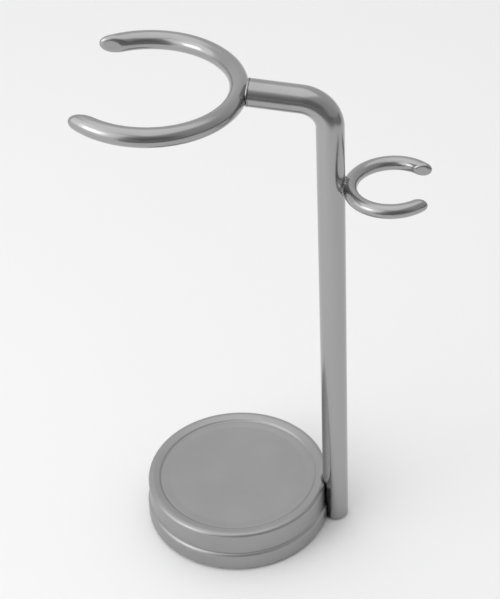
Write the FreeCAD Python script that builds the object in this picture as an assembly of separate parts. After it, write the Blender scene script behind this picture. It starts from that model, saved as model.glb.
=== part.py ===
import FreeCAD, Part

import math
import os

from FreeCAD import Vector

# Stand for a shaving brush and a safety razor, chrome plated. Millimetres.
#
# A bar bent once rises from the side of a round weighted base. Its arm carries an open
# ring for the brush, over the base, and a smaller open ring for the razor sits on the
# other side of the bar.
#
# Frame: the origin is the centre of the base's underside, on the table. +Z is up, and
# the arm runs from the bar towards -X. The stand is symmetric about the plane Y = 0.

# ---- bar ---------------------------------------------------------------------------
bar_d = 7.0             # solid round bar
arm_height = 137.8      # where the upright's axis and the arm's axis cross
arm_reach = 43.8        # from the upright's axis to the brush ring's centre, along X
arm_rise = 5.5          # degrees the arm climbs towards its ring
bend_r = 7.6            # of the bar's axis
bar_foot_z = 0.55       # the bar's foot hangs just clear of the table
bar_end_chamfer = 0.3

# ---- brush ring, an open ring of round bar -------------------------------------------
brush_bore_d = 38.9     # clear width inside the ring
brush_wire_d = 4.8
brush_mouth = 34.0      # clear width between its two tips
brush_lift = 2.2        # its centre, above where the bar's two axes cross
brush_rise = 2.8        # degrees it climbs to its mouth, so a brush stays in
brush_saddle = 0.5      # how deep the arm's end is hollowed to seat the ring
brush_tip_round = 0.4   # on the tips' edges

# ---- razor ring ----------------------------------------------------------------------
razor_bore_d = 17.2
razor_wire_d = 3.6
razor_mouth = 13.7
razor_height = 114.3    # of its centre
razor_rise = 2.4        # degrees it climbs away from the upright
razor_saddle = 0.6      # how deep the ring is hollowed to seat on the upright
razor_tip_round = 0.3

# ---- base: a turned weight with a pressed cap ------------------------------------------
base_d = 51.6           # the weight's plated band, the widest place of the base
base_height = 13.35     # top of the cap's rim
band_top = 6.4          # the cap stands on the weight here
band_shoulder_r = 1.6
band_foot_r = 0.9
cap_step = 0.55         # the cap's wall stands this far inside the band
cap_wall = 1.2
cap_shoulder_r = 1.1
cap_foot_r = 0.3
rim_width = 1.45        # from the cap's wall in to the tray's edge
tray_depth = 0.7
tray_slope = 2.0        # the tray's edge leans in by this much on its way down
tray_lip_r = 1.0
tray_floor_r = 2.0
seat_depth = 1.5        # how deep the bar is let into the band

# ---- pad under the base ----------------------------------------------------------------
pad_thick = 1.2
pad_proud = 0.45        # the pad lifts the weight this far off the table
pad_margin = 2.5        # from the pad's edge to the band's edge

# ---- fastenings ------------------------------------------------------------------------
thread_d = 3.0          # M3, for the screw in the bar's foot and the brush ring's stud
thread_pitch = 0.5
thread_depth = 0.6134 * thread_pitch
thread_crest = thread_pitch / 8      # width of the flat on top of a turn
thread_root = thread_pitch / 4       # and of the flat between two turns
foot_screw_length = 10.0
foot_screw_bite = 4.5   # thread inside the bar
foot_screw_z = 4.5
screw_head_d = 5.5
screw_head_h = 2.0
screw_hex = 2.0         # across flats
hex_turn = 60           # degrees from one corner of a hexagon to the next
screw_hex_depth = 1.2
washer_d = 5.6
washer_thick = 0.7
washer_split = 0.7
key_room = 8.0          # free length behind the screw's head for a short hex key
stud_bite = 7.0         # thread inside the arm
spigot_d = 2.2          # the stud's plain end, in the ring
spigot_depth = 3.0
peg_d = 1.6             # plain peg between the upright and the razor ring
peg_in_bar = 3.6
peg_in_ring = 2.0
razor_bead_r = 2.2

# ---- clearances --------------------------------------------------------------------------
seat_gap = 0.03         # between pieces that seat on each other
thread_gap = 0.05       # radial, between a thread and its tapped hole
screw_gap = 0.2         # radial, round a screw in a plain hole
bottom_gap = 0.4        # past the end of whatever sits in a blind hole
pad_gap = 0.15
pocket_gap = 0.5        # round the screw's head

# ---- worked out from the above -----------------------------------------------------------
bar_r = bar_d / 2
brush_wire_r = brush_wire_d / 2
brush_ring_r = (brush_bore_d + brush_wire_d) / 2
razor_wire_r = razor_wire_d / 2
razor_ring_r = (razor_bore_d + razor_wire_d) / 2
band_r = base_d / 2
cap_r = band_r - cap_step
bar_x = band_r + bar_r - seat_depth
climb = math.radians(arm_rise)
brush_centre = Vector(bar_x - arm_reach, 0, arm_height + brush_lift)
brush_back = brush_ring_r + brush_wire_r                 # from the brush ring's centre
arm_end = brush_back - brush_saddle                      # the same way
arm_tip_x = brush_centre.x + arm_end * math.cos(math.radians(brush_rise))
arm_tip = Vector(arm_tip_x, 0, arm_height + (bar_x - arm_tip_x) * math.tan(climb))
razor_back = razor_ring_r + razor_wire_r                 # from the razor ring's centre
razor_centre = Vector(bar_x + bar_r + razor_back - razor_saddle, 0, razor_height)
weight_foot_z = pad_proud
pad_r = band_r - pad_margin
tray_z = base_height - tray_depth
spigot_r = cap_r - cap_wall - seat_gap                   # of the weight, inside the cap
spigot_top = tray_z - cap_wall - seat_gap
screw_neck_x = bar_x - bar_r + foot_screw_bite - foot_screw_length   # under the screw's head
screw_seat_x = screw_neck_x + washer_thick

X, Y, Z = Vector(1, 0, 0), Vector(0, 1, 0), Vector(0, 0, 1)
ORIGIN = Vector(0, 0, 0)
FAR = 4 * (arm_height + arm_reach)                       # past everything
TINY = 1e-3                                              # two places this close are the same


# ---- tools -------------------------------------------------------------------------------
def rounded_outline(corners):
    """A face in the XZ plane. corners are (x, z, radius), and each is rounded by its radius."""
    points = [Vector(x, 0, z) for x, z, _ in corners]
    ends, arcs = [], []
    for i, (_, _, radius) in enumerate(corners):
        corner = points[i]
        back = (points[i - 1] - corner).normalize()
        ahead = (points[(i + 1) % len(points)] - corner).normalize()
        half = back.getAngle(ahead) / 2
        if radius <= 0:
            ends.append((corner, corner))
            arcs.append(None)
            continue
        trim = radius / math.tan(half)
        middle = (back + ahead).normalize()
        inner = corner + middle * (radius / math.sin(half) - radius)
        ends.append((corner + back * trim, corner + ahead * trim))
        arcs.append(inner)
    edges = []
    for i, (start, end) in enumerate(ends):
        if arcs[i] is not None:
            edges.append(Part.Arc(start, arcs[i], end).toShape())
        following = ends[(i + 1) % len(ends)][0]
        if (following - end).Length > TINY:
            edges.append(Part.LineSegment(end, following).toShape())
    return Part.Face(Part.Wire(edges))


def turned(corners):
    """The outline spun round the Z axis."""
    return rounded_outline(corners).revolve(ORIGIN, Z, 360)


def rod(radius, length, start, along):
    return Part.makeCylinder(radius, length, start, along)


def box(low, high):
    size = high - low
    return Part.makeBox(size.x, size.y, size.z, low)


def laid_along_x(shape):
    """Turns a shape built along +Z so that it runs along +X."""
    return shape.rotated(ORIGIN, Y, 90)


def thread(length, growth=0.0):
    """A threaded bar along +Z from the origin, as parallel grooves. growth makes it a tapped hole's tool."""
    crest = thread_d / 2 + growth
    root = crest - thread_depth
    flank = (thread_pitch - thread_crest - thread_root) / 2
    turns = int(length / thread_pitch)
    outline = [(0, 0, 0), (root, 0, 0)]
    for turn in range(turns):
        foot = turn * thread_pitch + thread_root / 2
        outline += [
            (root, foot, 0),
            (crest, foot + flank, 0),
            (crest, foot + flank + thread_crest, 0),
            (root, foot + 2 * flank + thread_crest, 0),
        ]
    outline += [(root, length, 0), (0, length, 0)]
    return turned(outline)


def open_ring(ring_r, wire_r, mouth, tip_round):
    """A round bar bent into a ring about Z, cut straight across to leave a mouth towards -X."""
    ring = Part.makeTorus(ring_r, wire_r, ORIGIN, Z)
    gate = box(Vector(-2 * ring_r, -mouth / 2, -ring_r), Vector(0, mouth / 2, ring_r))
    ring = ring.cut(gate)
    tip_edges = [
        edge for edge in ring.Edges
        if abs(edge.BoundBox.YMax - edge.BoundBox.YMin) < TINY
        and abs(abs(edge.BoundBox.Center.y) - mouth / 2) < TINY
        and edge.BoundBox.Center.x < 0
    ]
    return ring.makeFillet(tip_round, tip_edges)


def at_brush(shape):
    """From the brush ring's own frame, in which the arm is towards +X."""
    placed = shape.rotated(ORIGIN, Y, brush_rise)
    return placed.translated(brush_centre)


def at_razor(shape):
    """From the razor ring's own frame, in which the upright is towards -X."""
    placed = shape.rotated(ORIGIN, Y, -razor_rise)
    return placed.translated(razor_centre)


# ---- holes that two pieces share -----------------------------------------------------------
def stud_hole():
    """Tapped hole in the arm's end, in the brush ring's frame."""
    hole = laid_along_x(thread(stud_bite + brush_saddle + bottom_gap, thread_gap))
    return hole.translated(Vector(arm_end - brush_saddle, 0, 0))


def foot_hole():
    """Tapped hole in the bar's foot, entered from the base."""
    start = bar_x - bar_r - thread_pitch
    hole = laid_along_x(thread(thread_pitch + foot_screw_bite + bottom_gap, thread_gap))
    return hole.translated(Vector(start, 0, foot_screw_z))


# ---- pieces ------------------------------------------------------------------------------
def bar_bend():
    """The upright and the arm as one swept round bar, before its holes."""
    turn = math.radians(90) - climb
    run = bend_r * math.tan(turn / 2)
    foot = Vector(bar_x, 0, bar_foot_z)
    corner = Vector(bar_x, 0, arm_height)
    along_arm = Vector(-math.cos(climb), 0, math.sin(climb))
    bend_start = corner - Z * run
    bend_end = corner + along_arm * run
    centre = bend_start - X * bend_r
    towards_corner = (corner - centre).normalize()
    bend_middle = centre + towards_corner * bend_r
    path = Part.Wire([
        Part.LineSegment(foot, bend_start).toShape(),
        Part.Arc(bend_start, bend_middle, bend_end).toShape(),
        Part.LineSegment(bend_end, arm_tip).toShape(),
    ])
    section = Part.Wire(Part.makeCircle(bar_r, foot, Z))
    bar = path.makePipeShell([section], True, True)
    ends = [
        edge for edge in bar.Edges
        if (edge.CenterOfMass - foot).Length < TINY or (edge.CenterOfMass - arm_tip).Length < TINY
    ]
    return bar.makeChamfer(bar_end_chamfer, ends)


def column():
    bar = bar_bend()
    ring_seat = at_brush(Part.makeTorus(brush_ring_r, brush_wire_r + seat_gap, ORIGIN, Z))
    bar = bar.cut(ring_seat).cut(at_brush(stud_hole())).cut(foot_hole())
    return bar.cut(at_razor(peg_hole_in_bar()))


def brush_ring():
    ring = open_ring(brush_ring_r, brush_wire_r, brush_mouth, brush_tip_round)
    hole = rod(spigot_d / 2 + seat_gap, spigot_depth + bottom_gap,
               Vector(brush_back, 0, 0), -X)
    return at_brush(ring.cut(hole))


def brush_ring_stud():
    """M3 stud: screwed into the arm, its plain end soldered into the ring."""
    bite = laid_along_x(thread(stud_bite)).translated(Vector(arm_end, 0, 0))
    neck = rod(spigot_d / 2, spigot_depth + brush_saddle + thread_pitch,
               Vector(brush_back - spigot_depth, 0, 0), X)
    ring_body = Part.makeTorus(brush_ring_r, brush_wire_r + seat_gap, ORIGIN, Z)
    return at_brush(bite.cut(ring_body).fuse(neck).removeSplitter())


def razor_ring():
    ring = open_ring(razor_ring_r, razor_wire_r, razor_mouth, razor_tip_round)
    ring = ring.rotated(ORIGIN, Z, 180)
    hole = rod(peg_d / 2 + seat_gap, peg_in_ring + razor_saddle + bottom_gap,
               Vector(-razor_back, 0, 0), X)
    seat = rod(bar_r + seat_gap, FAR, Vector(bar_x, 0, 0), Z)
    return at_razor(ring.cut(hole)).cut(seat)


def peg_hole_in_bar():
    mouth = -razor_back + razor_saddle
    return rod(peg_d / 2 + seat_gap, peg_in_bar + bottom_gap + razor_saddle,
               Vector(mouth + razor_saddle, 0, 0), -X)


def razor_ring_peg():
    mouth = -razor_back + razor_saddle
    return at_razor(rod(peg_d / 2, peg_in_bar + peg_in_ring,
                          Vector(mouth - peg_in_bar, 0, 0), X))


def razor_ring_solder():
    """Bead where the ring touches the upright."""
    ball = Part.makeSphere(razor_bead_r, Vector(-razor_back + razor_saddle, 0, 0))
    bead = at_razor(ball)
    upright = rod(bar_r, FAR, Vector(bar_x, 0, 0), Z)
    ring_body = at_razor(Part.makeTorus(razor_ring_r, razor_wire_r, ORIGIN, Z))
    return bead.cut(upright).cut(ring_body)


def base_weight():
    """Turned steel disc. Its lower band shows, and the cap is pressed onto its spigot."""
    body = turned([
        (0, pad_thick, 0),
        (pad_r + pad_gap, pad_thick, 0),
        (pad_r + pad_gap, weight_foot_z, 0),
        (band_r, weight_foot_z, band_foot_r),
        (band_r, band_top, band_shoulder_r),
        (spigot_r, band_top, 0),
        (spigot_r, spigot_top, cap_foot_r),
        (0, spigot_top, 0),
    ])
    return body.cut(bar_seat()).cut(screw_pocket()).cut(screw_passage())


def bar_seat():
    """The bar's own shape, let into the side of the base."""
    return rod(bar_r + seat_gap, FAR, Vector(bar_x, 0, -bar_d), Z)


def screw_pocket():
    """Slot milled from the underside, for the screw's head and a hex key."""
    half = screw_head_d / 2 + pocket_gap
    top = foot_screw_z + half
    inner_x = screw_neck_x - screw_head_h - key_room
    straight = box(Vector(inner_x, -half, -bar_d), Vector(screw_seat_x, half, top))
    round_end = rod(half, top + bar_d, Vector(inner_x, 0, -bar_d), Z)
    return straight.fuse(round_end)


def screw_passage():
    return rod(thread_d / 2 + screw_gap, band_r, Vector(screw_seat_x, 0, foot_screw_z), X)


def base_cap():
    """Pressed cap: rolled rim round a shallow drip tray."""
    inside_r = cap_r - cap_wall
    tray_r = cap_r - rim_width
    body = turned([
        (0, tray_z, 0),
        (tray_r - tray_slope, tray_z, tray_floor_r),
        (tray_r, base_height, tray_lip_r),
        (cap_r, base_height, cap_shoulder_r),
        (cap_r, band_top + seat_gap, cap_foot_r),
        (inside_r, band_top + seat_gap, 0),
        (inside_r, base_height - cap_wall, cap_foot_r),
        (tray_r - tray_slope, base_height - cap_wall, 0),
        (tray_r - tray_slope - cap_wall / 2, tray_z - cap_wall, 0),
        (0, tray_z - cap_wall, 0),
    ])
    return body.cut(bar_seat())


def base_pad():
    return rod(pad_r, pad_thick, ORIGIN, Z).cut(bar_seat())


def foot_screw():
    """Low cap screw with a hex socket."""
    shank = thread(foot_screw_length)
    head = rod(screw_head_d / 2, screw_head_h, Vector(0, 0, -screw_head_h), Z)
    rim = [edge for edge in head.Edges
           if abs(edge.CenterOfMass.z + screw_head_h) < TINY and edge.Closed]
    head = head.makeChamfer(bar_end_chamfer, rim)
    corner_r = screw_hex / 2 / math.cos(math.radians(hex_turn / 2))
    turns = [math.radians(angle) for angle in range(0, 361, hex_turn)]
    corners = [Vector(corner_r * math.cos(a), corner_r * math.sin(a), -screw_head_h) for a in turns]
    socket = Part.Face(Part.makePolygon(corners)).extrude(Z * screw_hex_depth)
    screw = laid_along_x(head.cut(socket).fuse(shank).removeSplitter())
    return screw.translated(Vector(screw_neck_x, 0, foot_screw_z))


def foot_washer():
    """Split spring washer under the screw's head."""
    washer = rod(washer_d / 2, washer_thick, ORIGIN, X)
    bore = rod(thread_d / 2 + screw_gap, washer_thick, ORIGIN, X)
    slot = box(Vector(0, -washer_split / 2, 0), Vector(washer_thick, washer_split / 2, washer_d))
    return washer.cut(bore).cut(slot).translated(Vector(screw_neck_x, 0, foot_screw_z))


PIECES = {
    "column": column,
    "brush_ring": brush_ring,
    "brush_ring_stud": brush_ring_stud,
    "razor_ring": razor_ring,
    "razor_ring_peg": razor_ring_peg,
    "razor_ring_solder": razor_ring_solder,
    "base_weight": base_weight,
    "base_cap": base_cap,
    "base_pad": base_pad,
    "foot_screw": foot_screw,
    "foot_washer": foot_washer,
}


def main():
    os.makedirs("parts", exist_ok=True)
    for name, make in PIECES.items():
        shape = make()
        shape.exportStep(f"parts/{name}.step")
        b = shape.optimalBoundingBox(False)
        print(f"{name:20s} solids {len(shape.Solids)} valid {shape.isValid()} volume {shape.Volume:9.1f} "
              f"x {b.XMin:7.2f} {b.XMax:7.2f} y {b.YMin:7.2f} {b.YMax:7.2f} z {b.ZMin:7.2f} {b.ZMax:7.2f}")


main()
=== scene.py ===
import math

import bmesh
import bpy
from mathutils import Matrix, Vector, noise


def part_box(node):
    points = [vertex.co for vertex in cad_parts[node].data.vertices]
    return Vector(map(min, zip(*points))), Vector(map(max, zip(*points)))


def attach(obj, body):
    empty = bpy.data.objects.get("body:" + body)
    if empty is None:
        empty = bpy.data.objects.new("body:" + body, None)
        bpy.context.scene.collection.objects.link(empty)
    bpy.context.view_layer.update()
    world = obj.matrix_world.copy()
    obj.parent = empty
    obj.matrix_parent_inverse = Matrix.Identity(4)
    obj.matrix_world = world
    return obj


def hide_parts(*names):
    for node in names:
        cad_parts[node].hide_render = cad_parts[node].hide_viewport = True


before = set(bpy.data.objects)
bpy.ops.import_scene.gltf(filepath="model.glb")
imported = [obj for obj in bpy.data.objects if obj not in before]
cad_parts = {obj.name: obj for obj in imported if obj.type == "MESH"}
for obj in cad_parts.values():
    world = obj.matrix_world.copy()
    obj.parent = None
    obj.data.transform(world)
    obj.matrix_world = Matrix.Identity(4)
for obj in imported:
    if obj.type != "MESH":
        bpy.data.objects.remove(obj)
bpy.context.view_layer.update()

# A chrome stand for a shaving brush and a razor. Metres. +Z is up, the base's underside is
# at Z = 0, the arm runs from the upright towards -X, and the stand is symmetric about Y = 0.

MM = 0.001

# ---- sizes -----------------------------------------------------------------------------------
ARM_RISE = math.radians(5.5)        # the arm climbs towards -X
BRUSH_RISE = math.radians(2.8)      # so does the brush ring
RAZOR_RISE = math.radians(2.4)      # the razor ring climbs towards +X
ARM_HEIGHT = 137.8 * MM             # where the upright's axis and the arm's axis cross
BEND_R = 7.6 * MM                   # of the bar's axis
BAR_END_ROUND = 0.35 * MM
BRUSH_WIRE_R = 2.4 * MM
BRUSH_HALF_MOUTH = 17.1 * MM        # at the tips, which are polished back a little
BRUSH_TIP_ROUND = 1.2 * MM
BRUSH_TIP_WEAR = 0.5                # a tip is rounded this share more outside, and less inside
RAZOR_WIRE_R = 1.8 * MM
RAZOR_HALF_MOUTH = 7.0 * MM
RAZOR_TIP_ROUND = 0.85 * MM
RAZOR_TIP_WEAR = 0.7
RAZOR_SADDLE = 0.6 * MM             # how deep the razor ring sits in the upright's side
BRUSH_SADDLE = 0.5 * MM             # how deep the brush ring sits in the arm's end
COPE_REACH = 1.6 * MM               # the arm's end is worked back over this length
SEAT_GAP = 0.03 * MM

BAND_FOOT_R = 0.9 * MM
BAND_SHOULDER_R = 1.4 * MM
CAP_WALL = 1.2 * MM
CAP_SHOULDER_R = 1.1 * MM
CAP_FOOT_R = 0.12 * MM
RIM_WIDTH = 1.45 * MM
RIM_SLOPE = 1.6 * MM                # the rim leans in gently over this width
RIM_FALL = 0.35 * MM
RIM_LIP_R = 1.0 * MM
STEP_SLOPE = 0.5 * MM               # then a step falls to the tray
STEP_FALL = 0.45 * MM
STEP_R = 0.45 * MM
TRAY_LEDGE = 0.6 * MM               # flat, at the step's foot
DISH_WIDTH = 1.8 * MM               # then a faint second slope
DISH_DEPTH = 0.16 * MM
DISH_R = 3.0 * MM
PAD_EDGE_R = 0.2 * MM

SOLDER_HALF = Vector((1.6, 2.3, 2.35)) * MM
SOLDER_LUMPS = ((2.1, 0.20), (5.0, 0.16), (11.0, 0.09))     # noise scale, share of the size
SOLDER_SINK = 0.2 * MM              # into the upright's side

BAR_JOINT_SHADE = 0.22                  # painted shade: the share of the plate's colour kept in the joint, on the bar
# Painted shade: the share of the plate's colour kept in the joint, on the base.
BASE_JOINT_SHADE = 0.3

# ---- how finely the meshes are cut -----------------------------------------------------------
SHARP = math.radians(38)            # an edge that turns more than this is shaded as an edge
SECTION_POINTS = 72                 # round a bar or a ring's wire
ROUND_ROWS = 12                     # across a rounded edge
BRUSH_RING_ROWS = 180
RAZOR_RING_ROWS = 120
RING_FACE_SHARES = (0.3, 0.6, 0.85)     # rows on a tip's flat face, as shares of its radius
UPRIGHT_ROWS = 60
BEND_ROWS = 40
ARM_ROWS = 30
FOOT_FACE_SHARES = (0.4, 0.8)
ARM_FACE_ROWS = 14                  # close together, for the hollow worked into the arm's end
ARM_COPE_SHARES = (0.2, 0.14)       # rows just short of that end, as shares of the bar's radius
ARC_STEP = math.radians(7)          # along a rounded corner of a turned outline
SEAT_COLUMN_STEP = 0.2              # degrees, round the base beside the bar's seat
SEAT_COLUMN_MARGIN = 0.5            # degrees past the seat's own edge
PLAIN_COLUMNS = 288                 # round the rest of the base
SOLDER_FINENESS = 6                 # times the lump's faces are split

# ---- the studio ------------------------------------------------------------------------------
FLOOR_HALF = 3.0
WALL_LEVEL = 0.66
# Soft round patches on the walls: azimuth, elevation, inner and outer half angle, level.
WALL_PATCHES = (
    (150, 10, 10, 100, 0.86),
    (-40, 2, 10, 75, 0.50),
    (-76, 10, 8, 40, 0.22),
)
# Rectangular lights: name, azimuth, elevation, distance, width, height, radiance.
SOFTBOXES = (
    ("overhead", 150, 88, 0.6, 0.8, 0.8, 0.58),
    ("key_spread", -144, 24, 0.7, 0.90, 0.80, 0.70),
    ("key", -142, 16, 0.68, 0.31, 0.34, 1.7),
)
BOARD_CORNERS = ((-0.12, -0.26), (0.40, -0.26), (0.40, 0.20))
BOARD_FOOT = 0.001
BOARD_TOP = 0.12
CAMERA_AZIMUTH = math.radians(10.15)        # from -Y towards +X
CAMERA_ELEVATION = math.radians(38.65)
CAMERA_ROLL = math.radians(-2.91)
CAMERA_DISTANCE = 0.4774
CAMERA_TARGET = Vector((0.00608, 0, 0.07602))
CAMERA_LENS = 109.95                        # on a sensor 36 mm wide
CAMERA_SENSOR = 36

# ---- places, read from the frame -------------------------------------------------------------
column_low, column_high = (Vector(corner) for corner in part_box("column"))
cap_low, cap_high = (Vector(corner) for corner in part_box("base_cap"))
weight_low, weight_high = (Vector(corner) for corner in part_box("base_weight"))
pad_low, pad_high = (Vector(corner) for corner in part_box("base_pad"))
brush_low, brush_high = (Vector(corner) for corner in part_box("brush_ring"))
razor_low, razor_high = (Vector(corner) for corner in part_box("razor_ring"))

BAR_R = column_high.y
BAR_X = column_high.x - BAR_R
BRUSH_RING_R = brush_high.y - BRUSH_WIRE_R
RAZOR_RING_R = razor_high.y - RAZOR_WIRE_R
BRUSH_CENTRE = Vector((
    brush_high.x - BRUSH_RING_R * math.cos(BRUSH_RISE) - BRUSH_WIRE_R,
    0,
    brush_low.z + BRUSH_RING_R * math.sin(BRUSH_RISE) + BRUSH_WIRE_R,
))
RAZOR_CENTRE = Vector((
    BAR_X + BAR_R + RAZOR_RING_R + RAZOR_WIRE_R - RAZOR_SADDLE,
    0,
    razor_low.z + RAZOR_RING_R * math.sin(RAZOR_RISE) + RAZOR_WIRE_R,
))
ALONG_ARM = Vector((-math.cos(ARM_RISE), 0, math.sin(ARM_RISE)))
ARM_END = BRUSH_RING_R + BRUSH_WIRE_R - BRUSH_SADDLE    # from the brush ring's centre
BEND_CORNER = Vector((BAR_X, 0, ARM_HEIGHT))
ARM_TIP_X = BRUSH_CENTRE.x + ARM_END * math.cos(BRUSH_RISE)
ARM_TIP = BEND_CORNER + ALONG_ARM * ((BAR_X - ARM_TIP_X) / math.cos(ARM_RISE))
BRUSH_PLACE = Matrix.Translation(BRUSH_CENTRE) @ Matrix.Rotation(BRUSH_RISE, 4, "Y")
CAP_R = cap_high.y
BAND_R = weight_high.y
BAND_TOP = cap_low.z - SEAT_GAP


# ---- mesh tools ------------------------------------------------------------------------------
def loft(name, stations, first_tip, last_tip):
    """A closed skin over rings of points, each end closed by a fan to its tip."""
    mesh = bpy.data.meshes.new(name)
    bm = bmesh.new()
    rings = [[bm.verts.new(point) for point in station] for station in stations]
    count = len(rings[0])
    for one, two in zip(rings, rings[1:]):
        for i in range(count):
            j = (i + 1) % count
            bm.faces.new((one[i], one[j], two[j], two[i]))
    for ring, tip in ((rings[0], first_tip), (rings[-1], last_tip)):
        centre = bm.verts.new(tip)
        for i in range(count):
            bm.faces.new((ring[i], ring[(i + 1) % count], centre))
    bmesh.ops.recalc_face_normals(bm, faces=bm.faces)
    bm.to_mesh(mesh)
    bm.free()
    return finish_mesh(name, mesh)


def finish_mesh(name, mesh):
    """Smooth shading between the sharp edges, on a new object in the scene."""
    for polygon in mesh.polygons:
        polygon.use_smooth = True
    mesh.set_sharp_from_angle(angle=SHARP)
    piece = bpy.data.objects.new(name, mesh)
    bpy.context.scene.collection.objects.link(piece)
    return piece


def place(piece, node, material):
    """Stands a piece in for its CAD node, on the stand's one body."""
    piece.data.materials.append(material)
    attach(piece, "root")
    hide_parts(node)


def rounding(radius, edge):
    """(radius, set back) across the rounded edge of a bar's cut end, from the face outwards."""
    steps = [math.radians(90) * k / ROUND_ROWS for k in range(ROUND_ROWS + 1)]
    return [(radius - edge * (1 - math.sin(a)), edge * (1 - math.cos(a))) for a in steps]


def rounded(corners):
    """Points along an outline in (r, z). Each corner is (r, z, radius of its rounding)."""
    points = []
    for i, (r, z, radius) in enumerate(corners):
        corner = Vector((r, z))
        if radius <= 0:
            points.append(corner)
            continue
        back = (Vector(corners[i - 1][:2]) - corner).normalized()
        ahead = (Vector(corners[i + 1][:2]) - corner).normalized()
        half = back.angle(ahead) / 2
        centre = corner + (back + ahead).normalized() * (radius / math.sin(half))
        start = corner + back * (radius / math.tan(half)) - centre
        end = corner + ahead * (radius / math.tan(half)) - centre
        sweep = start.angle_signed(end)
        rows = max(2, round(abs(sweep) / ARC_STEP))
        for k in range(rows + 1):
            points.append(centre + Matrix.Rotation(-sweep * k / rows, 2) @ start)
    return points


# ---- the two open rings ----------------------------------------------------------------------
def open_ring(name, ring_r, wire_r, half_mouth, edge, wear, placement, body_rows):
    """Round wire in a ring about Z, cut straight across for a mouth towards -X."""
    turns = [2 * math.pi * i / SECTION_POINTS for i in range(SECTION_POINTS)]

    def rounding_at(turn):
        """The tip's rounding on this side of the wire. Turn 0 is the ring's outer side."""
        return edge * (1 + wear * math.cos(turn))

    def tip_row(side, flat_share, round_angle):
        """Across a tip's flat face, then over its rounding. side is 1 or -1 for the two tips."""
        row = []
        for turn in turns:
            bevel = rounding_at(turn)
            radius = (wire_r - bevel) * flat_share + bevel * math.sin(round_angle)
            y = half_mouth + bevel * (1 - math.cos(round_angle))
            out = ring_r + radius * math.cos(turn)
            x = -math.sqrt(out * out - y * y)
            row.append(placement @ Vector((x, side * y, radius * math.sin(turn))))
        return row

    def body_row(share):
        row = []
        for turn in turns:
            out = ring_r + wire_r * math.cos(turn)
            first = math.asin((half_mouth + rounding_at(turn)) / out)
            angle = first + (2 * math.pi - 2 * first) * share
            x, y = -out * math.cos(angle), out * math.sin(angle)
            row.append(placement @ Vector((x, y, wire_r * math.sin(turn))))
        return row

    rows = [(share, 0) for share in RING_FACE_SHARES]
    rows += [(1, math.radians(90) * k / ROUND_ROWS) for k in range(ROUND_ROWS + 1)]
    stations = [tip_row(1, *row) for row in rows]
    stations += [body_row(k / body_rows) for k in range(1, body_rows)]
    stations += [tip_row(-1, *row) for row in reversed(rows)]
    tip_x = -math.sqrt(ring_r * ring_r - half_mouth * half_mouth)
    tips = [placement @ Vector((tip_x, side * half_mouth, 0)) for side in (1, -1)]
    return loft(name, stations, *tips)


def brush_ring():
    """Its mouth faces -X, away from the arm."""
    return open_ring("brush_ring_skin", BRUSH_RING_R, BRUSH_WIRE_R, BRUSH_HALF_MOUTH,
                     BRUSH_TIP_ROUND, BRUSH_TIP_WEAR, BRUSH_PLACE, BRUSH_RING_ROWS)


def razor_ring():
    """The same kind of ring, turned round so that its mouth faces +X."""
    placement = (Matrix.Translation(RAZOR_CENTRE) @ Matrix.Rotation(-RAZOR_RISE, 4, "Y")
                 @ Matrix.Rotation(math.pi, 4, "Z"))
    return open_ring("razor_ring_skin", RAZOR_RING_R, RAZOR_WIRE_R, RAZOR_HALF_MOUTH,
                     RAZOR_TIP_ROUND, RAZOR_TIP_WEAR, placement, RAZOR_RING_ROWS)


# ---- the bar ---------------------------------------------------------------------------------
def bar_path():
    """(point, direction) along the bar's axis, from its foot to the arm's end."""
    turn = math.radians(90) - ARM_RISE
    run = BEND_R * math.tan(turn / 2)
    foot = Vector((BAR_X, 0, column_low.z))
    bend_start = BEND_CORNER - Vector((0, 0, run))
    bend_centre = bend_start - Vector((BEND_R, 0, 0))
    arm_start = BEND_CORNER + ALONG_ARM * run
    path = []
    for k in range(UPRIGHT_ROWS):
        path.append((foot.lerp(bend_start, k / UPRIGHT_ROWS), Vector((0, 0, 1))))
    for k in range(BEND_ROWS):
        a = turn * k / BEND_ROWS
        out = Vector((math.cos(a), 0, math.sin(a)))
        path.append((bend_centre + out * BEND_R, Vector((-math.sin(a), 0, math.cos(a)))))
    for k in range(ARM_ROWS + 1):
        path.append((arm_start.lerp(ARM_TIP, k / ARM_ROWS), ALONG_ARM))
    return path


def cope(point):
    """Works a point near the arm's end back, clear of the brush ring's round side."""
    to_tip = ALONG_ARM * (ARM_TIP - point).dot(ALONG_ARM)
    near = 1 - (ARM_TIP - point).dot(ALONG_ARM) / COPE_REACH
    local = BRUSH_PLACE.inverted() @ point
    if near <= 0 or abs(local.z) >= BRUSH_WIRE_R:
        return point
    out = BRUSH_RING_R + math.sqrt(BRUSH_WIRE_R ** 2 - local.z ** 2)
    surface = math.sqrt(out ** 2 - local.y ** 2) + SEAT_GAP
    face = (BRUSH_PLACE.inverted() @ (point + to_tip)).x
    return point - ALONG_ARM * max(0, surface - face) * near


def bar_ring(centre, along, radius):
    """A circle of points round the bar's axis."""
    side = Vector((0, 1, 0))
    up = side.cross(along)
    ring = []
    for i in range(SECTION_POINTS):
        a = 2 * math.pi * i / SECTION_POINTS
        ring.append(centre + (up * math.cos(a) + side * math.sin(a)) * radius)
    return ring


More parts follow.
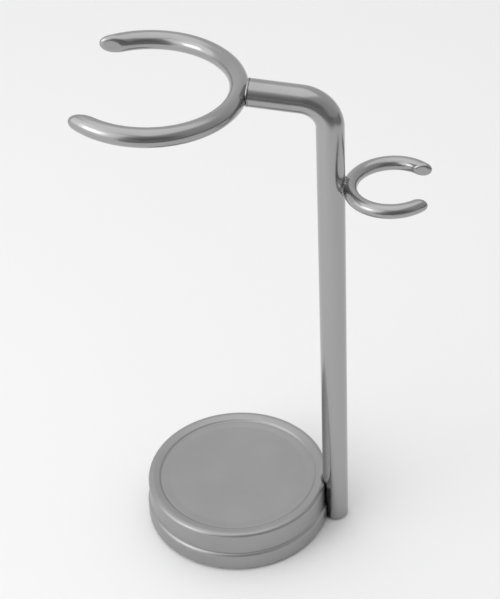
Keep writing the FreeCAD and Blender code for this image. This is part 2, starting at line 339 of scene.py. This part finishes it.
def column():
    """The bar: its foot's flat face, the upright, the bend, the arm and the arm's hollow end."""
    path = bar_path()
    foot, up = path[0]
    tip, out = path[-1]
    edge = rounding(BAR_R, BAR_END_ROUND)
    arm_face_shares = [k / ARM_FACE_ROWS for k in range(1, ARM_FACE_ROWS)]
    inner = BAR_R - BAR_END_ROUND
    stations = [bar_ring(foot, up, inner * share) for share in FOOT_FACE_SHARES]
    stations += [bar_ring(foot + up * back, up, radius) for radius, back in edge]
    stations += [bar_ring(point, along, BAR_R) for point, along in path[1:-1]]
    stations += [bar_ring(tip - out * BAR_R * share, out, BAR_R) for share in ARM_COPE_SHARES]
    stations += [bar_ring(tip - out * back, out, radius) for radius, back in reversed(edge)]
    stations += [bar_ring(tip, out, inner * share) for share in reversed(arm_face_shares)]
    stations = [[cope(point) for point in station] for station in stations]
    return loft("column_skin", stations, foot, cope(tip))


# ---- the base --------------------------------------------------------------------------------
def base_columns():
    """Angles round the base, close together where the bar is let into it."""
    seat_half = math.degrees(math.asin((BAR_R + SEAT_GAP) / BAR_X)) + SEAT_COLUMN_MARGIN
    fine_count = round(2 * seat_half / SEAT_COLUMN_STEP)
    fine = [-seat_half + SEAT_COLUMN_STEP * k for k in range(fine_count + 1)]
    left, right = fine[-1], fine[0] + 360
    plain = [left + (right - left) * k / PLAIN_COLUMNS for k in range(1, PLAIN_COLUMNS)]
    return [math.radians(a) for a in fine + plain]


def seated(radius, angle):
    """The radius kept clear of the bar's seat in the base's side."""
    seat_r = BAR_R + SEAT_GAP
    across = BAR_X * math.sin(angle)
    if math.cos(angle) < 0 or abs(across) >= seat_r:
        return radius
    return min(radius, BAR_X * math.cos(angle) - math.sqrt(seat_r ** 2 - across ** 2))


def turned(name, corners):
    """An outline, from axis to axis, spun round Z with the bar's seat let into its side."""
    outline = rounded(corners)
    columns = base_columns()
    stations = []
    for r, z in outline[1:-1]:
        station = []
        for angle in columns:
            out = seated(r, angle)
            station.append(Vector((out * math.cos(angle), out * math.sin(angle), z)))
        stations.append(station)
    return loft(name, stations, Vector((0, 0, outline[0].y)), Vector((0, 0, outline[-1].y)))


def base_cap():
    """From under the tray, down inside the wall, up its outside and over the rim to the tray."""
    inside_r = CAP_R - CAP_WALL
    rim_r = CAP_R - RIM_WIDTH
    step_r = rim_r - RIM_SLOPE
    step_z = cap_high.z - RIM_FALL
    ledge_r = step_r - STEP_SLOPE
    ledge_z = step_z - STEP_FALL
    dish_r = ledge_r - TRAY_LEDGE
    floor_r = dish_r - DISH_WIDTH
    floor_z = ledge_z - DISH_DEPTH
    return turned("base_cap_skin", [
        (0, floor_z - CAP_WALL, 0),
        (ledge_r, floor_z - CAP_WALL, 0),
        (step_r, step_z - CAP_WALL, 0),
        (inside_r, step_z - CAP_WALL, 0),
        (inside_r, cap_low.z, 0),
        (CAP_R, cap_low.z, CAP_FOOT_R),
        (CAP_R, cap_high.z, CAP_SHOULDER_R),
        (rim_r, cap_high.z, RIM_LIP_R),
        (step_r, step_z, STEP_R),
        (ledge_r, ledge_z, STEP_R),
        (dish_r, ledge_z, DISH_R),
        (floor_r, floor_z, DISH_R),
        (0, floor_z, 0),
    ])


def base_band():
    """The weight, of which a band shows under the cap. The pad fills the room in its underside."""
    shelf_r = CAP_R - CAP_WALL - SEAT_GAP
    pad_room = pad_high.y + SEAT_GAP
    return turned("base_band_skin", [
        (0, pad_high.z + SEAT_GAP, 0),
        (pad_room, pad_high.z + SEAT_GAP, 0),
        (pad_room, weight_low.z, 0),
        (BAND_R, weight_low.z, BAND_FOOT_R),
        (BAND_R, BAND_TOP, BAND_SHOULDER_R),
        (shelf_r, BAND_TOP, 0),
        (shelf_r, weight_high.z, 0),
        (0, weight_high.z, 0),
    ])


def base_pad():
    return turned("base_pad_skin", [
        (0, pad_low.z, 0),
        (pad_high.y, pad_low.z, PAD_EDGE_R),
        (pad_high.y, pad_high.z, 0),
        (0, pad_high.z, 0),
    ])


# ---- the solder ------------------------------------------------------------------------------
def razor_solder():
    """A lump that ran round the joint and froze rough."""
    mesh = bpy.data.meshes.new("razor_solder_skin")
    bm = bmesh.new()
    bmesh.ops.create_icosphere(bm, subdivisions=SOLDER_FINENESS, radius=1)
    reach = RAZOR_CENTRE.x - BAR_X - BAR_R
    joint = Vector((BAR_X + BAR_R, 0, RAZOR_CENTRE.z - reach * math.sin(RAZOR_RISE)))
    deepest = BAR_R - SOLDER_SINK
    for vert in bm.verts:
        direction = vert.co.copy()
        swell = 1 + sum(share * noise.noise(direction * scale) for scale, share in SOLDER_LUMPS)
        point = joint + direction * swell * SOLDER_HALF
        inward = Vector((point.x - BAR_X, point.y, 0))
        if inward.length < deepest:
            inward = inward.normalized() * deepest
            point = Vector((BAR_X + inward.x, inward.y, point.z))
        vert.co = point
    bm.to_mesh(mesh)
    bm.free()
    return finish_mesh("razor_solder_skin", mesh)


# ---- materials -------------------------------------------------------------------------------
def new_material(name):
    material = bpy.data.materials.new(name)
    material.use_nodes = True
    tree = material.node_tree
    return material, tree, tree.nodes["Principled BSDF"]


def object_noise(tree, scale, stretch=(1, 1, 1), detail=4.0):
    """Noise fixed to the object. A small stretch value draws it out along that axis."""
    place_in = tree.nodes.new("ShaderNodeTexCoord")
    mapping = tree.nodes.new("ShaderNodeMapping")
    mapping.inputs["Scale"].default_value = stretch
    texture = tree.nodes.new("ShaderNodeTexNoise")
    texture.inputs["Scale"].default_value = scale
    texture.inputs["Detail"].default_value = detail
    tree.links.new(place_in.outputs["Object"], mapping.inputs["Vector"])
    tree.links.new(mapping.outputs["Vector"], texture.inputs["Vector"])
    return texture.outputs["Fac"]


def ramp(tree, source, low, high):
    """Maps noise onto two values or two colours. Its middle part spans the whole change."""
    node = tree.nodes.new("ShaderNodeValToRGB")
    node.color_ramp.elements[0].position = 0.3
    node.color_ramp.elements[1].position = 0.7
    for element, value in zip(node.color_ramp.elements, (low, high)):
        element.color = (*value, 1) if isinstance(value, tuple) else (value, value, value, 1)
    tree.links.new(source, node.inputs["Fac"])
    return node.outputs["Color"]


def bump(tree, shader, source, distance):
    node = tree.nodes.new("ShaderNodeBump")
    node.inputs["Distance"].default_value = distance
    node.inputs["Strength"].default_value = 1.0
    tree.links.new(source, node.inputs["Height"])
    tree.links.new(node.outputs["Normal"], shader.inputs["Normal"])


def plated(name, greys, roughness, stretch, grain_depth, joint_shade=None):
    """Chrome plate: slight cloudiness, uneven gloss and a fine polishing grain. Where a joint's shade
    is given, it is painted into the colour.
    """
    material, tree, shader = new_material(name)
    shader.inputs["Metallic"].default_value = 1.0
    clouds = object_noise(tree, 60, stretch, detail=5)
    colour = ramp(tree, clouds, *greys)
    # Painted shade: the colour is darkened where the joint's shade falls.
    if joint_shade:
        colour = darkened(tree, colour, joint_shade(tree))
    tree.links.new(colour, shader.inputs["Base Color"])
    wipes = object_noise(tree, 90, stretch, detail=6)
    tree.links.new(ramp(tree, wipes, *roughness), shader.inputs["Roughness"])
    grain = object_noise(tree, 500, stretch, detail=2)
    bump(tree, shader, grain, grain_depth)
    return material


def darkened(tree, colour, share):
    """Paints shade into the plate's colour in a joint. share is 1 where no shade is painted."""
    blend = tree.nodes.new("ShaderNodeMix")
    blend.data_type = "RGBA"
    blend.blend_type = "MULTIPLY"
    blend.inputs["Factor"].default_value = 1.0
    tree.links.new(colour, blend.inputs["A"])
    tree.links.new(share, blend.inputs["B"])
    return blend.outputs["Result"]


def soft_step(tree, source, start, end, low, high):
    """Goes smoothly from low, where the source is start, to high, where it is end."""
    node = tree.nodes.new("ShaderNodeMapRange")
    node.interpolation_type = "SMOOTHSTEP"
    node.inputs["From Min"].default_value = start
    node.inputs["From Max"].default_value = end
    node.inputs["To Min"].default_value = low
    node.inputs["To Max"].default_value = high
    tree.links.new(source, node.inputs["Value"])
    return node.outputs["Result"]


def object_parts(tree):
    """X, Y and Z on the object."""
    split = tree.nodes.new("ShaderNodeSeparateXYZ")
    tree.links.new(tree.nodes.new("ShaderNodeTexCoord").outputs["Object"], split.inputs["Vector"])
    return split.outputs


def bar_joint_shade(tree):
    """Painted shade on the bar: low down, on the side let into the base."""
    parts = object_parts(tree)
    dark_below, unshaded_above = cap_high.z - 1.4 * MM, cap_high.z - 0.4 * MM
    height = soft_step(tree, parts["Z"], dark_below, unshaded_above, BAR_JOINT_SHADE, 1.0)
    dark_within, unshaded_beyond = BAR_X - 1.5 * MM, BAR_X - 0.7 * MM
    side = soft_step(tree, parts["X"], dark_within, unshaded_beyond, 0.0, 1.0)
    unshaded = tree.nodes.new("ShaderNodeMath")
    unshaded.operation = "MAXIMUM"
    tree.links.new(height, unshaded.inputs[0])
    tree.links.new(side, unshaded.inputs[1])
    return unshaded.outputs["Value"]


def base_joint_shade(tree):
    """Painted shade on the base: close round the bar's seat."""
    flat = tree.nodes.new("ShaderNodeVectorMath")
    flat.operation = "MULTIPLY"
    flat.inputs[1].default_value = (1, 1, 0)
    tree.links.new(tree.nodes.new("ShaderNodeTexCoord").outputs["Object"], flat.inputs[0])
    gap = tree.nodes.new("ShaderNodeVectorMath")
    gap.operation = "DISTANCE"
    gap.inputs[1].default_value = (BAR_X, 0, 0)
    tree.links.new(flat.outputs["Vector"], gap.inputs[0])
    dark_within, unshaded_beyond = BAR_R + 0.2 * MM, BAR_R + 0.9 * MM
    return soft_step(tree, gap.outputs["Value"], dark_within, unshaded_beyond, BASE_JOINT_SHADE, 1.0)


def plain_metal(name, colour, roughness):
    """Bare steel, for the fixings inside the stand."""
    material, tree, shader = new_material(name)
    shader.inputs["Metallic"].default_value = 1.0
    clouds = object_noise(tree, 200)
    darker = tuple(0.8 * c for c in colour)
    tree.links.new(ramp(tree, clouds, darker, colour), shader.inputs["Base Color"])
    wipes = object_noise(tree, 600)
    tree.links.new(ramp(tree, wipes, roughness * 0.8, roughness * 1.2), shader.inputs["Roughness"])
    return material


def solder_metal():
    """Plated over, but pitted: bright where it is high and dull in the pits."""
    material, tree, shader = new_material("solder")
    shader.inputs["Metallic"].default_value = 1.0
    pits = object_noise(tree, 900, detail=4)
    tree.links.new(ramp(tree, pits, 0.20, 0.52), shader.inputs["Base Color"])
    tree.links.new(ramp(tree, pits, 0.34, 0.12), shader.inputs["Roughness"])
    bump(tree, shader, pits, 0.12 * MM)
    return material


def pad_rubber():
    material, tree, shader = new_material("pad_rubber")
    clouds = object_noise(tree, 300)
    colour = ramp(tree, clouds, (0.022, 0.022, 0.024), (0.045, 0.045, 0.048))
    tree.links.new(colour, shader.inputs["Base Color"])
    grain = object_noise(tree, 3000, detail=4)
    tree.links.new(ramp(tree, grain, 0.62, 0.8), shader.inputs["Roughness"])
    bump(tree, shader, grain, 0.05 * MM)
    return material


# ---- the studio ------------------------------------------------------------------------------
def floor():
    """Pale paper."""
    mesh = bpy.data.meshes.new("floor")
    corners = [(FLOOR_HALF * x, FLOOR_HALF * y, 0) for x, y in ((-1, -1), (1, -1), (1, 1), (-1, 1))]
    mesh.from_pydata(corners, [], [(0, 1, 2, 3)])
    plane = bpy.data.objects.new("floor", mesh)
    bpy.context.scene.collection.objects.link(plane)
    material, tree, shader = new_material("floor_paper")
    clouds = object_noise(tree, 3)
    tree.links.new(ramp(tree, clouds, 0.93, 0.95), shader.inputs["Base Color"])
    shader.inputs["Roughness"].default_value = 0.9
    shader.inputs["Specular IOR Level"].default_value = 0.1
    mesh.materials.append(material)


def towards(azimuth, elevation):
    """A direction. Azimuth 0 is +X and turns towards +Y."""
    a, e = math.radians(azimuth), math.radians(elevation)
    return Vector((math.cos(a) * math.cos(e), math.sin(a) * math.cos(e), math.sin(e)))


def softbox(name, direction, distance, width, height, radiance):
    """A rectangular light that faces the rings. Its radiance doesn't depend on its size."""
    centre = Vector((0, 0, BRUSH_CENTRE.z))
    data = bpy.data.lights.new(name, "AREA")
    data.shape = "RECTANGLE"
    data.size = width
    data.size_y = height
    data.energy = radiance * math.pi * width * height
    light = bpy.data.objects.new(name, data)
    light.location = centre + direction * distance
    light.rotation_euler = (-direction).to_track_quat("-Z", "Y").to_euler()
    light.visible_camera = False
    bpy.context.scene.collection.objects.link(light)


def wall_patch(tree, below, direction, inner, outer, level):
    """Blends one soft round patch of the studio's walls over what is there already."""
    dot = tree.nodes.new("ShaderNodeVectorMath")
    dot.operation = "DOT_PRODUCT"
    dot.inputs[1].default_value = direction
    room = tree.nodes.new("ShaderNodeTexCoord")
    tree.links.new(room.outputs["Generated"], dot.inputs[0])
    edge, core = math.cos(math.radians(outer)), math.cos(math.radians(inner))
    blend = tree.nodes.new("ShaderNodeMix")
    blend.data_type = "FLOAT"
    inside = soft_step(tree, dot.outputs["Value"], edge, core, 0.0, 1.0)
    tree.links.new(inside, blend.inputs["Factor"])
    if isinstance(below, float):
        blend.inputs["A"].default_value = below
    else:
        tree.links.new(below, blend.inputs["A"])
    blend.inputs["B"].default_value = level
    return blend.outputs["Result"]


def studio():
    """A pale room: brighter behind, dim where the photographer stands, lit from above and the left."""
    world = bpy.data.worlds.new("studio")
    world.use_nodes = True
    tree = world.node_tree
    walls = WALL_LEVEL
    for azimuth, elevation, inner, outer, level in WALL_PATCHES:
        walls = wall_patch(tree, walls, towards(azimuth, elevation), inner, outer, level)
    tree.links.new(walls, tree.nodes["Background"].inputs["Color"])
    bpy.context.scene.world = world
    for name, azimuth, elevation, distance, width, height, radiance in SOFTBOXES:
        softbox(name, towards(azimuth, elevation), distance, width, height, radiance)


def dark_board():
    """A low dark board bent round two sides of the stand. Only reflections see it."""
    mesh = bpy.data.meshes.new("dark_board")
    points = [(x, y, z) for x, y in BOARD_CORNERS for z in (BOARD_FOOT, BOARD_TOP)]
    mesh.from_pydata(points, [], [(0, 2, 3, 1), (2, 4, 5, 3)])
    board = bpy.data.objects.new("dark_board", mesh)
    bpy.context.scene.collection.objects.link(board)
    material, tree, shader = new_material("board_paint")
    shader.inputs["Roughness"].default_value = 1.0
    fibres = object_noise(tree, 40)
    tree.links.new(ramp(tree, fibres, 0.26, 0.30), shader.inputs["Base Color"])
    mesh.materials.append(material)
    board.visible_camera = False
    board.visible_diffuse = False
    board.visible_shadow = False


def camera():
    flat = math.cos(CAMERA_ELEVATION)
    back = Vector((math.sin(CAMERA_AZIMUTH) * flat, -math.cos(CAMERA_AZIMUTH) * flat,
                   math.sin(CAMERA_ELEVATION)))
    level = (-back).cross(Vector((0, 0, 1))).normalized()
    upright = level.cross(-back)
    right = level * math.cos(CAMERA_ROLL) + upright * math.sin(CAMERA_ROLL)
    up = upright * math.cos(CAMERA_ROLL) - level * math.sin(CAMERA_ROLL)
    turn = Matrix((right, up, back)).transposed().to_4x4()
    data = bpy.data.cameras.new("camera")
    data.sensor_width = CAMERA_SENSOR
    data.lens = CAMERA_LENS
    view = bpy.data.objects.new("camera", data)
    view.matrix_world = Matrix.Translation(CAMERA_TARGET + back * CAMERA_DISTANCE) @ turn
    bpy.context.scene.collection.objects.link(view)
    bpy.context.scene.camera = view


# ---- put together ----------------------------------------------------------------------------
# bar_plate and base_plate carry painted shade where the bar is let into the base.
bar_plate = plated("bar_plate", greys=(0.33, 0.39), roughness=(0.17, 0.23), stretch=(1, 1, 0.04),
                   grain_depth=0.0005 * MM, joint_shade=bar_joint_shade)
ring_plate = plated("ring_plate", greys=(0.34, 0.38), roughness=(0.18, 0.24), stretch=(1, 1, 1),
                    grain_depth=0.0005 * MM)
base_plate = plated("base_plate", greys=(0.35, 0.38), roughness=(0.36, 0.42), stretch=(1, 1, 1),
                    grain_depth=0.001 * MM, joint_shade=base_joint_shade)
fixing_steel = plain_metal("fixing_steel", (0.55, 0.55, 0.56), 0.3)

place(column(), "column", bar_plate)
place(brush_ring(), "brush_ring", ring_plate)
place(razor_ring(), "razor_ring", ring_plate)
place(razor_solder(), "razor_ring_solder", solder_metal())
place(base_cap(), "base_cap", base_plate)
place(base_band(), "base_weight", base_plate)
place(base_pad(), "base_pad", pad_rubber())

for node in ("brush_ring_stud", "razor_ring_peg", "foot_screw", "foot_washer"):
    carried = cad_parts[node]
    carried.data.materials.clear()
    carried.data.materials.append(fixing_steel)

floor()
studio()
dark_board()
camera()
bpy.context.scene.view_settings.view_transform = "Standard"
